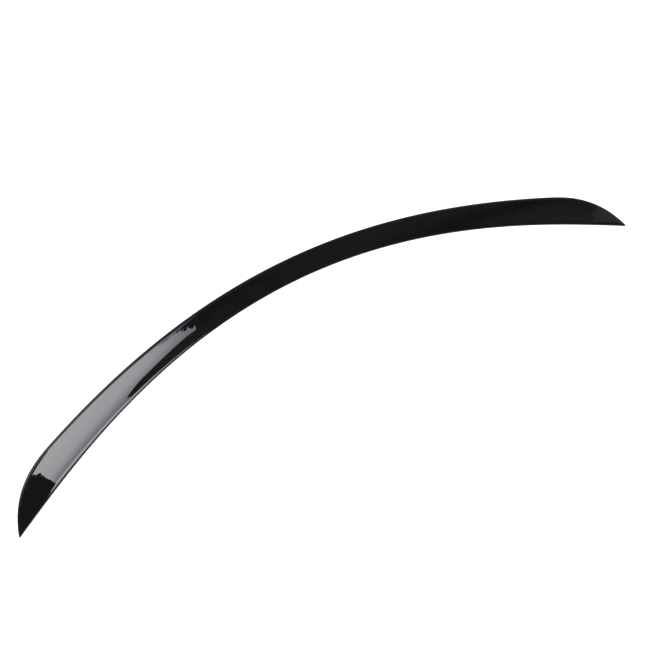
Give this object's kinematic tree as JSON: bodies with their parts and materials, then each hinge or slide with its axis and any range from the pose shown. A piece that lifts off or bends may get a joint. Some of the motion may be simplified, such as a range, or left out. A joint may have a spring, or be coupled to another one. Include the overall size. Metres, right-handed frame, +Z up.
{
  "type": "car boot lid lip spoiler",
  "caption": "Swept lip spoiler with pointed ends that bonds along the rear edge of a car's boot lid; gloss black, ribbed underneath, with foam tape.",
  "frame": {"origin": "on the boot lid's surface, on the car's centre line, in the middle of the rear tape's width", "axes": "+X across the car, +Y towards the car's rear, +Z up and square to the plane of the two bonding tapes"},
  "size_m": [1.2042, 0.2367, 0.0189],
  "materials": {
    "gloss_black": "polished black paint on injection-moulded plastic",
    "foam_tape": "closed-cell foam tape with a red release liner on its lower face"
  },
  "bodies": {
    "root": {"spoiler_moulding": "gloss_black", "front_tape": "foam_tape", "rear_tape": "foam_tape"}
  },
  "joints": []
}
